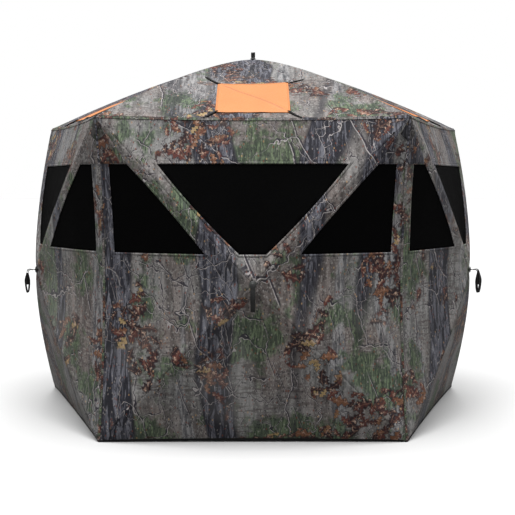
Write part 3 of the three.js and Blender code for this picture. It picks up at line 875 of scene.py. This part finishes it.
def make_wall(wall):
    panel, mesh_node = f"wall_panel_{wall.name}", f"window_mesh_{wall.name}"
    print_at = (wall.number * PRINT_STEP, 0.0)
    surface = wall_surface(wall)
    for facet, (outline, windows, edge, inwards, rod) in facets().items():
        body = f"{wall.name}_rod_{rod}"
        is_door = wall.name == DOOR_WALL and facet == "right"
        holes = [door_outline(DOOR_GAP)[::-1]] if is_door else windows
        # the upper facet takes the lighter copy of the print: painted light where it turns up to the lamp
        face = CAMO_PAINTED_LIGHT if facet == "upper" else CAMO
        piece = cloth(f"cloth_{wall.name}_{facet}", outline[::-1], holes, CLOTH_STEP, surface, [face, LINING],
                      print_at)
        bend_at(piece, wall, edge, inwards, rod)
        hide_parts(panel)
        declare_sheet(outline, holes)
        if is_door:
            make_door(wall, surface, print_at)
            continue
        for window in windows:
            net = cloth(f"mesh_{wall.name}_{facet}", grown(window, MESH_OVERLAP), [], 0.030,
                        wall_surface(wall, -MESH_BEHIND), [MESH], print_at, NET_THICK)
            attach(net, body)
            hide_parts(mesh_node)
            declare_sheet(grown(window, MESH_OVERLAP), [])
            hem = cloth(f"window_hem_{wall.name}_{facet}", grown(window, WINDOW_HEM), [window], 0.024,
                        wall_surface(wall, 0.0012), [CAMO], print_at)
            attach(hem, body)


def make_door(wall, surface, print_at):
    outline = door_outline(0)
    door = cloth("door_cloth", outline, [], CLOTH_STEP, surface, [CAMO, LINING], print_at)
    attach(door, "door")
    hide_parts("door_panel")
    declare_sheet(outline, [])
    door_zip(wall)


# each half of the zip: its distance from the slit, its width and thickness
ZIP_PARTS = (
    ("wall_tape", -0.0100, 0.0160, 0.0010, BINDING), ("door_tape", 0.0100, 0.0160, 0.0010, BINDING),
    ("wall_teeth", -0.0014, 0.0022, 0.0022, GUNMETAL), ("door_teeth", 0.0014, 0.0022, 0.0022, GUNMETAL),
)
SEAM_LIFT, SEAM_THICK = 0.0012, 0.0016


def door_zip(wall):
    """Zip tapes and teeth along the door's two free edges, one half on the wall and one on the door."""
    tip, low, high = door_outline(DOOR_GAP / 2)
    middle = ((tip[0] + low[0] + high[0]) / 3, HUB_Z)
    for end_name, end in (("lower", low), ("upper", high)):
        length = math.dist(tip, end)
        across = ((end[1] - tip[1]) / length, -(end[0] - tip[0]) / length)
        if (middle[0] - tip[0]) * across[0] + (middle[1] - tip[1]) * across[1] < 0:
            across = (-across[0], -across[1])
        for half, away, width, thickness, material in ZIP_PARTS:
            surface = wall_surface(wall, 0.0006 + thickness / 2)
            sections = []
            for t in spread(0.01, 0.99, 40):
                x = tip[0] + (end[0] - tip[0]) * t + across[0] * away
                y = tip[1] + (end[1] - tip[1]) * t + across[1] * away
                side = surface(x + across[0] * width / 2, y + across[1] * width / 2) - surface(x, y)
                sections.append((surface(x, y), side.normalized() * (width / 2), wall.out))
            band = strap(f"zip_{end_name}_{half}", sections, thickness, material)
            if half.startswith("door"):
                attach(band, "door")
            else:
                bend_at(band, wall, (HALF, HUB_Z), (-1, 0), "upper_right")


def hem_binding(wall):
    """Black tape folded over the bottom edge."""
    surface = wall_surface(wall, -0.0005)
    sections = []
    for x in spread(SEAM_GAP - HALF, HALF - SEAM_GAP, 64):
        low, high = surface(x, 0.0002), surface(x, 0.011)
        sections.append(((low + high) / 2, (high - low) / 2, wall.right.cross(high - low).normalized()))
    tape = strap(f"hem_binding_{wall.name}", sections, 0.0036, BINDING)
    bend_at(tape, wall, (0, 0), (0, 1), "lower_right")


def corner_seam(wall, following):
    """The sewn edge where this wall's right side meets the next wall."""
    here, there = wall_surface(wall, SEAM_LIFT), wall_surface(following, SEAM_LIFT)
    sections = []
    for y in spread(0.004, WALL_TOP - 0.006, 60):
        one, other = here(HALF - 0.007, y), there(-HALF + 0.007, y)
        middle = (here(HALF, y) + there(-HALF, y)) / 2
        sections.append((middle, (one - other) / 2, (one - other).cross(wall.up).normalized()))
    tape = strap(f"corner_seam_{wall.name}", sections, SEAM_THICK, CAMO)
    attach(tape, "root")


def eaves_seam(wall):
    """The sewn edge between the wall and the roof."""
    face, top = wall_surface(wall, 0.0010), roof_surface(wall, 0.0010)
    sections = []
    for x in spread(0.003 - HALF, HALF - 0.003, 60):
        low, high = face(x, WALL_TOP - 0.010), top(x, 0.006)
        middle = (low + high) / 2 + wall.out * 0.0018
        sections.append((middle, (high - low) / 2, wall.right.cross(high - low).normalized()))
    tape = strap(f"eaves_seam_{wall.name}", sections, SEAM_THICK, CAMO)
    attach(tape, "root")


def corner_piece(kind, wall, side, outline, lift, material, print_at):
    """A small piece of its own cloth at a top corner; the outline is given for the right one."""
    outline = [(side * x, y) for x, y in outline][::side]
    name = f"{kind}_{wall.name}_{'right' if side > 0 else 'left'}"
    piece = cloth(name, outline, [], 0.012, wall_surface(wall, lift), [material], print_at)
    return piece


def corner_gusset(wall, side):
    """The triangle of its own cloth between the top corner, the rod's strip and the side window."""
    low = WINDOW_TOP + 0.002
    edge_x, window_x = HALF - 0.004, rod_at(WINDOW_TOP) + OUTER_STRIP_TOP
    outline = [(edge_x, WALL_TOP - 0.010), (edge_x, low), (window_x - 0.002, low)]
    print_at = (wall.number * PRINT_STEP + 0.9, 0.7)
    # the darker copy of the print: painted shade under the corner
    gusset = corner_piece("corner_gusset", wall, side, outline, 0.0016, CAMO_SHADED_GUSSET, print_at)
    bend_at(gusset, wall, (side * HALF, HUB_Z), (-side, 0), "upper_right" if side > 0 else "lower_left")


def corner_shade_patch(wall, side):
    """A much darker copy of the print under the top corner: painted shade where the corner falls in."""
    outline = [(HALF - dx, WALL_TOP - dy) for dx, dy in ((0.003, 0.008), (0.004, 0.125), (0.046, 0.090))]
    print_at = (wall.number * PRINT_STEP, 0.7)
    patch = corner_piece("corner_shade_patch", wall, side, outline, 0.0028, CAMO_PAINTED_SHADE, print_at)
    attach(patch, "root")


walls = [Wall(number) for number in range(SIDES)]
for wall in walls:
    make_wall(wall)
    hem_binding(wall)


# ---------------- roof
def roof_outline():
    """Corner to corner along the eaves, then up both rods to the hub's hole."""
    stop = APOTHEM - HOLE
    hole_x = HALF * (1 - stop / APOTHEM)
    return [(-HALF, 0.0), (HALF, 0.0), (hole_x, stop), (-hole_x, stop)]


def roof_surface(wall, offset=0.0):
    seed = 4.1 + 1.9 * wall.number

    def place(x, inward):
        height = roof_rise(x, inward) + roof_creases(x, inward, seed) - eaves_drop(x, inward)
        return wall.on_roof(x, inward, height + offset)

    return place


def make_roof(wall):
    print_at = (wall.number * ROOF_PRINT_STEP + ROOF_PRINT_AT[0], ROOF_PRINT_AT[1])
    # the roof takes the lighter copy of the print: painted light on the faces lit from above
    piece = cloth(f"roof_cloth_{wall.name}", roof_outline(), [], CLOTH_STEP, roof_surface(wall),
                  [CAMO_PAINTED_LIGHT, LINING], print_at)
    start, end = wall.on_roof(0, 0), wall.on_roof(0, BEND)
    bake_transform(piece)
    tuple(start)
    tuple(end)
    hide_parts("roof_panel")
    declare_sheet(roof_outline(), [])


for wall in walls:
    make_roof(wall)
    corner_seam(wall, walls[(wall.number + 1) % SIDES])
    eaves_seam(wall)
    for side in (-1, 1):
        # a dark patch of painted shade under each top corner
        corner_shade_patch(wall, side)
        if wall.name != DOOR_WALL or side < 0:
            corner_gusset(wall, side)


# ---------------- orange roof panels
def flag_surface(wall):
    lift = roof_surface(wall)
    low, high = FLAG_LOW * APOTHEM, FLAG_HIGH * APOTHEM

    def place(x, inward):
        across, along = x / (FLAG_WIDTH / 2), (inward - low) / (high - low) * 2 - 1
        fold = abs(across + along) / 1.5  # the old fold runs from the upper left to the lower right
        ridge = 0.0050 * math.exp(-((fold / 0.050) ** 2)) * max(0.0, 1 - abs(across) ** 6)
        slack = 0.0025 * noise.noise(Vector((x * 7, inward * 5, wall.number)))
        at = lift(x, inward)
        at.z += FLAG_CLEAR + ridge + slack
        return at

    return place


def make_flag(wall):
    body = f"roof_rod_{wall.name}"
    low, high = FLAG_LOW * APOTHEM, FLAG_HIGH * APOTHEM
    half = FLAG_WIDTH / 2
    outline = [(-half, low), (half, low), (half, high), (-half, high)]
    surface = flag_surface(wall)
    flag = cloth(f"safety_flag_{wall.name}", outline, [], 0.009, surface, [ORANGE], (0, 0), THIN_CLOTH)
    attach(flag, body)
    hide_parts(f"roof_flag_{wall.name}")
    declare_sheet(outline, [])
    hem_rim(wall, surface, outline, body)
    lift = roof_surface(wall)
    for name, x, inward, dx, dy in (
        ("upper_left", -half, high, -0.067, 0.095), ("upper_right", half, high, 0.084, 0.040),
        ("lower_left", -half, low, -0.060, 0.004 - low), ("lower_right", half, low, 0.056, 0.004 - low),
    ):
        path = []
        for share in spread(0, 1, 10):
            start_x, start_in = x * 0.95, inward + math.copysign(0.012, -dy)
            at = lift(start_x + (x + dx - start_x) * share, start_in + (inward + dy - start_in) * share)
            at.z += 0.0030 + 0.0050 * (1 - share) ** 2
            path.append(at)
        along = (path[-1] - path[0]).normalized()
        across = along.cross(Vector((0, 0, 1))).normalized() * 0.0095
        normal = across.cross(along).normalized()
        band = strap(f"flag_strap_{wall.name}_{name}", [(at, across, normal) for at in path], 0.0018, WEBBING)
        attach(band, body)


def hem_rim(wall, surface, outline, body):
    """A doubled edge on the flag."""
    middle = (outline[0][1] + outline[2][1]) / 2
    inner = [(x * 0.955, middle + (y - middle) * 0.963) for x, y in outline]

    def raised(x, y):
        at = surface(x, y)
        at.z += 0.0010
        return at

    rim = cloth(f"flag_hem_{wall.name}", outline, [inner], 0.012, raised, [ORANGE], (0.5, 0.5), THIN_CLOTH)
    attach(rim, body)


for wall in walls:
    make_flag(wall)


# ---------------- hubs, rods, loops
def rod_path(corner, hub, height, bow, tip_gap, end_gap, place):
    run = math.dist(corner, hub)
    path = []
    for u in spread(tip_gap / run, 1 - end_gap / run, 24):
        x, y = corner[0] + (hub[0] - corner[0]) * u, corner[1] + (hub[1] - corner[1]) * u
        path.append(place(x, y, rise(u, 1, height, bow) - ROD_INSET))
    return path


ROD_RADIUS, CORD_RADIUS, KNOT_RADIUS = 0.0055, 0.0024, 0.0038
FERRULE = [(0, 0), (0.0060, 0), (0.0068, 0.001), (0.0068, 0.026), (0.0062, 0.028), (0.0055, 0.029),
           (0, 0.029)]
SCREW = [(0, 0), (0.0055, 0), (0.0062, 0.0010), (0.0050, 0.0028), (0.0020, 0.0032), (0, 0.0026)]


def dress_rod(node, body, path):
    rod = tube(f"{node}_bar", path, ROD_RADIUS, ROD, 14)
    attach(rod, body)
    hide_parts(node)
    for name, base, towards in (("outer", path[0], path[1]), ("inner", path[-1], path[-2])):
        sleeve = lathe(f"{node}_ferrule_{name}", FERRULE, base, towards - base, STEEL, 20)
        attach(sleeve, body)


CORNER_SIGNS = {"upper_left": (-1, 1), "upper_right": (1, 1), "lower_right": (1, -1), "lower_left": (-1, -1)}
for wall in walls:
    for place_name, (sx, sy) in CORNER_SIGNS.items():
        path = rod_path((sx * HALF, HUB_Z + sy * HUB_Z), (0, HUB_Z), HUB_OUT, WALL_BOW, 0.034, 0.040, wall.at)
        dress_rod(f"rod_{wall.name}_{place_name}", f"{wall.name}_rod_{place_name}", path)
    path = rod_path((-HALF, 0), (0, APOTHEM), PEAK_RISE, ROOF_BOW, 0.050, 0.060, wall.on_roof)
    dress_rod(f"rod_roof_{wall.name}", f"roof_rod_{wall.name}", path)


def dress_hub(node, body, place, axis, plate_r, plate_depth):
    """A ribbed nylon plate with a turned stem and cap; place is on the cloth and axis points outwards."""
    d = plate_depth
    profile = [
        (0, -d - 0.0070), (0.010, -d - 0.0070), (0.012, -d - 0.0055), (plate_r * 0.55, -d - 0.0055),
        (plate_r * 0.58, -d - 0.0070), (plate_r * 0.90, -d - 0.0070), (plate_r * 0.97, -d - 0.0060),
        (plate_r, -d - 0.0035), (plate_r * 0.99, -d - 0.0010), (plate_r * 0.95, -d),
        (0.016, -d), (0.0110, -d + 0.0030), (0.0090, -d + 0.0060), (0.0090, 0.0030),
        (0.0165, 0.0030), (0.0180, 0.0040), (0.0180, 0.0050), (0.0140, 0.0076), (0.0060, 0.0084),
        (0.0045, 0.0110), (0.0, 0.0112),
    ]
    hub = lathe(f"{node}_turned", profile, place, axis, PLASTIC, 64)
    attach(hub, body)
    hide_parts(node)
    screw = lathe(f"{node}_screw", SCREW, place - axis * (d + 0.0068), -axis, STEEL, 24)
    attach(screw, body)
    path = [place + axis * along for along in spread(0.008, CORD_STUB, 6)]
    cord = tube(f"{node}_cord", path, CORD_RADIUS, CORD, 10)
    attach(cord, body)


for wall in walls:
    dress_hub(f"hub_{wall.name}", f"{wall.name}_hub", wall.at(0, HUB_Z, HUB_OUT), wall.out, 0.060, 0.026)
peak = CENTRE + Vector((0, 0, WALL_TOP + PEAK_RISE))
dress_hub("hub_roof", "roof_hub", peak, Vector((0, 0, 1)), 0.075, 0.032)


# the webbing of a loop from its knot: distance outwards and height, of the outer and of the inner layer
LOOP_BACK = [(0.000, 0.0022), (0.013, 0.0040), (0.023, 0.0020), (0.0285, -0.006), (0.0318, -0.020),
             (0.0362, -0.036), (0.0388, -0.054), (0.0382, -0.074), (0.0356, -0.096), (0.0325, -0.115),
             (0.0272, -0.1285)]
LOOP_FRONT = [(0.0225, -0.120), (0.0196, -0.104), (0.0180, -0.086), (0.0172, -0.064), (0.0190, -0.042),
              (0.0220, -0.022), (0.0225, -0.009), (0.0130, -0.0008), (0.000, -0.0012)]


def pull_loop(name, body, node, origin, out, up, across, reach=1.0):
    """Doubled webbing that leaves the cord outwards, folds over, hangs, and opens into a loop at its end."""

    def at(o, h):
        return origin + out * (o * reach) + up * h

    def half_width(twist, share):
        return (across * math.cos(twist) + out * math.sin(twist)) * (LOOP_WIDTH / 2 * share)

    path = smooth_path([at(o, h) for o, h in LOOP_BACK + LOOP_FRONT], 4)
    sections = []
    for i, point in enumerate(path):
        fallen = min(1.0, max(0.0, -(point - origin).dot(up) / 0.06))
        gather = 0.35 + 0.65 * min(1.0, (point - origin).length / 0.024)  # narrow at the knot
        side = half_width(LOOP_TWIST * fallen, gather)
        along = (path[min(i + 1, len(path) - 1)] - path[max(i - 1, 0)]).normalized()
        sections.append((point, side, side.cross(along).normalized()))
    band = strap(name, sections, 0.0024, WEBBING)
    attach(band, body)
    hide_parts(node)
    side = half_width(LOOP_TWIST, 0.96)
    facing = side.cross(up).normalized()
    sections = [(at(0.0275 + 0.00012 * i, -0.018 - 0.0072 * i), side, facing) for i in range(10)]
    filling = strap(f"{name}_stitched_middle", sections, 0.0085, WEBBING)
    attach(filling, body)
    knot = new_sphere(f"{name}_knot", origin, KNOT_RADIUS, CORD)
    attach(knot, body)


def smooth_path(points, steps):
    """Points along a Catmull-Rom curve."""
    path = []
    for i in range(len(points) - 1):
        p0, p1, p2, p3 = points[max(i - 1, 0)], points[i], points[i + 1], points[min(i + 2, len(points) - 1)]
        for k in range(steps):
            t = k / steps
            path.append(0.5 * ((2 * p1) + (p2 - p0) * t + (2 * p0 - 5 * p1 + 4 * p2 - p3) * t * t
                               + (3 * p1 - p0 - 3 * p2 + p3) * t ** 3))
    path.append(points[-1])
    return path


def new_sphere(name, centre, radius, material):
    profile = [(radius * math.sin(turn), -radius * math.cos(turn)) for turn in spread(0, math.pi, 10)]
    profile[0], profile[-1] = (0, -radius), (0, radius)
    return lathe(name, profile, centre, Vector((0, 0, 1)), material, 20)


for wall in walls:
    pull_loop(f"loop_{wall.name}", f"{wall.name}_pull_loop", f"pull_loop_{wall.name}",
              wall.at(0, HUB_Z, HUB_OUT + LOOP_PIVOT), wall.out, wall.up, wall.right)
droop_sin, droop_cos = math.sin(ROOF_LOOP_DROOP), math.cos(ROOF_LOOP_DROOP)
pull_loop("loop_roof", "roof_pull_loop", "pull_loop_roof", peak + Vector((0, 0, LOOP_PIVOT)),
          Vector((0, droop_sin, droop_cos)), Vector((0, -droop_cos, droop_sin)), Vector((1, 0, 0)), 0.70)


# ---------------- feet and the door's slider keep their CAD shape
def repaint(node, material):
    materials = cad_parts[node].data.materials
    materials.clear()
    materials.append(material)


for wall in walls:
    repaint(f"corner_foot_{wall.name}", PLASTIC)
repaint("zip_slider", GUNMETAL)


# ---------------- studio
FLOOR = 60.0  # half the floor's width


def make_studio():
    corners = [(-FLOOR, -FLOOR, 0), (FLOOR, -FLOOR, 0), (FLOOR, FLOOR, 0), (-FLOOR, FLOOR, 0)]
    floor = new_object("studio_floor", corners, [[0, 1, 2, 3]], floor_material())
    world = bpy.data.worlds.new("studio")
    bpy.context.scene.world = world
    world.use_nodes = True
    background = world.node_tree.nodes["Background"]
    background.inputs["Color"].default_value = (1.0, 1.0, 1.0, 1.0)
    background.inputs["Strength"].default_value = 1.0
    for name, energy, spread, tilt, turn in (("overhead", 10.5, 50, 12, -8), ("front", 0.35, 60, 55, 18)):
        light = bpy.data.lights.new(name, "SUN")
        light.energy = energy
        light.angle = math.radians(spread)
        lamp = bpy.data.objects.new(name, light)
        lamp.rotation_euler = (math.radians(tilt), 0, math.radians(turn))
        bpy.context.scene.collection.objects.link(lamp)
    bpy.context.scene.view_settings.view_transform = "Standard"


def make_camera():
    """Level with the chest, 5.6 m in front of the front wall and looking slightly down."""
    data = bpy.data.cameras.new("camera")
    data.sensor_width = 36.0
    data.lens = 77.63
    camera = bpy.data.objects.new("camera", data)
    camera.location = CENTRE + Vector((0.009, -6.653, 1.341))
    pitch, yaw = math.radians(4.097), 0.0026
    forward = Vector((math.sin(yaw) * math.cos(pitch), math.cos(yaw) * math.cos(pitch), -math.sin(pitch)))
    camera.rotation_euler = forward.to_track_quat("-Z", "Y").to_euler()
    bpy.context.scene.collection.objects.link(camera)
    bpy.context.scene.camera = camera


make_studio()
make_camera()
